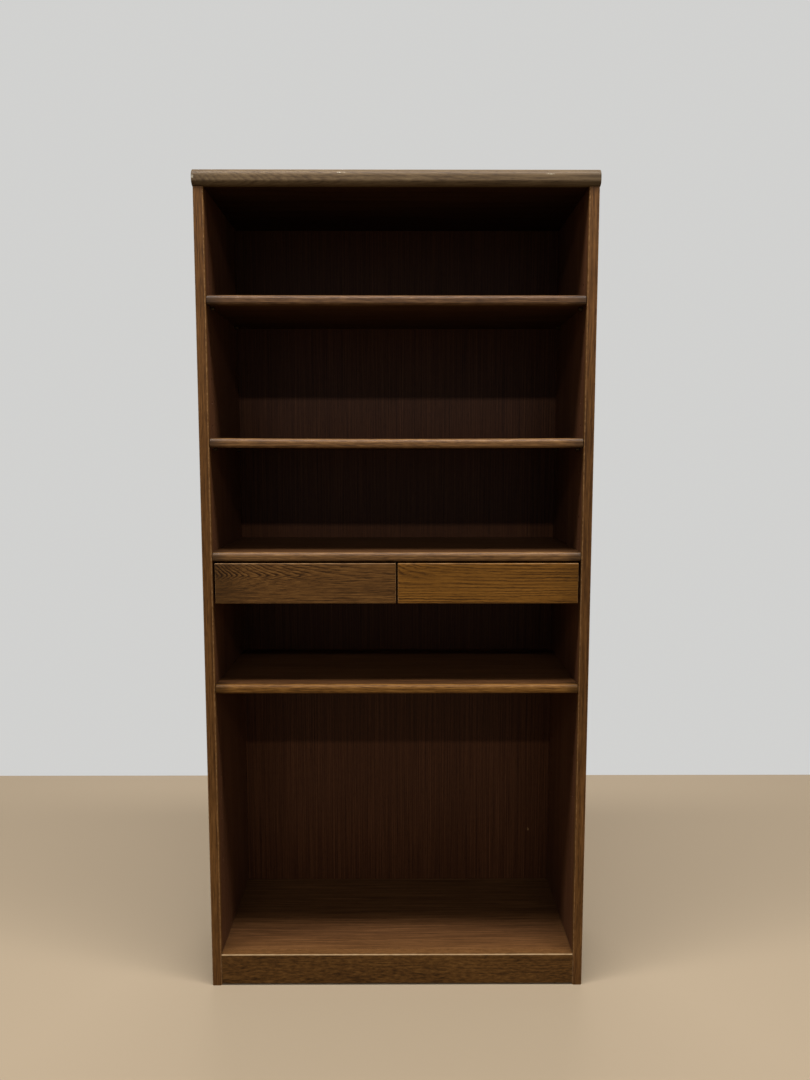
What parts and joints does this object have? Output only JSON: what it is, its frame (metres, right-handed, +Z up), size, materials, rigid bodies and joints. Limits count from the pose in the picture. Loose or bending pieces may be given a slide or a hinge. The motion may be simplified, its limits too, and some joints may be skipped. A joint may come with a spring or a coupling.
{
  "type": "bookcase with drawers",
  "caption": "Tall open oak bookcase with a bullnosed top, a plinth, loose shelves on pins and handleless drawers hung under a fixed shelf.",
  "frame": {"origin": "on the floor, under the middle of the bookcase's overall box", "axes": "+Z up, -Y out of the open front, +X to the right of someone facing the front"},
  "size_m": [0.85, 0.35, 1.803],
  "materials": {
    "oak_veneer": "dark brown stained oak veneer, satin lacquer",
    "solid_oak": "brown stained solid oak, satin lacquer",
    "left_front_oak": "brown stained flame-figured oak, satin lacquer",
    "right_front_oak": "golden brown stained flame-figured oak, satin lacquer",
    "back_plywood": "thin plywood, dark oak veneer inside, bare behind",
    "drawer_hardwood": "pale hardwood, clear sealed",
    "drawer_plywood": "pale plywood, clear sealed",
    "frame_softwood": "bare softwood",
    "runner_hardwood": "bare close-grained hardwood, waxed",
    "pin_brass": "plain dulled brass",
    "nail_steel": "bright drawn steel"
  },
  "bodies": {
    "case": {"left_side_panel": "oak_veneer", "right_side_panel": "oak_veneer", "left_side_edging": "solid_oak", "right_side_edging": "solid_oak", "top_panel": "oak_veneer", "top_nosing": "solid_oak", "top_splines": "frame_softwood", "drawer_shelf_panel": "oak_veneer", "drawer_shelf_nosing": "solid_oak", "base_shelf": "oak_veneer", "plinth_board": "solid_oak", "base_rear_rail": "frame_softwood", "base_glue_blocks": "frame_softwood", "back_panel": "back_plywood", "back_panel_nails": "nail_steel", "drawer_divider": "frame_softwood", "drawer_rear_rail": "frame_softwood", "left_outer_runner": "runner_hardwood", "left_inner_runner": "runner_hardwood", "right_inner_runner": "runner_hardwood", "right_outer_runner": "runner_hardwood", "upper_shelf_pins": "pin_brass", "middle_shelf_pins": "pin_brass", "lower_shelf_pins": "pin_brass"},
    "upper_shelf": {"upper_shelf_panel": "oak_veneer", "upper_shelf_nosing": "solid_oak"},
    "middle_shelf": {"middle_shelf_panel": "oak_veneer", "middle_shelf_nosing": "solid_oak"},
    "lower_shelf": {"lower_shelf_panel": "oak_veneer", "lower_shelf_nosing": "solid_oak"},
    "left_drawer": {"left_drawer_front": "left_front_oak", "left_drawer_left_side": "drawer_hardwood", "left_drawer_right_side": "drawer_hardwood", "left_drawer_back": "drawer_hardwood", "left_drawer_bottom": "drawer_plywood"},
    "right_drawer": {"right_drawer_front": "right_front_oak", "right_drawer_left_side": "drawer_hardwood", "right_drawer_right_side": "drawer_hardwood", "right_drawer_back": "drawer_hardwood", "right_drawer_bottom": "drawer_plywood"}
  },
  "joints": [
    {"name": "left_drawer_slide", "type": "slide", "parent": "case", "child": "left_drawer", "axis": [0, -1, 0], "range_m": [0, 0.2]},
    {"name": "right_drawer_slide", "type": "slide", "parent": "case", "child": "right_drawer", "axis": [0, -1, 0], "range_m": [0, 0.2]},
    {"name": "upper_shelf_lift", "type": "slide", "parent": "case", "child": "upper_shelf", "axis": [0, 0, 1], "range_m": [0, 0.05]},
    {"name": "middle_shelf_lift", "type": "slide", "parent": "case", "child": "middle_shelf", "axis": [0, 0, 1], "range_m": [0, 0.05]},
    {"name": "lower_shelf_lift", "type": "slide", "parent": "case", "child": "lower_shelf", "axis": [0, 0, 1], "range_m": [0, 0.05]}
  ]
}
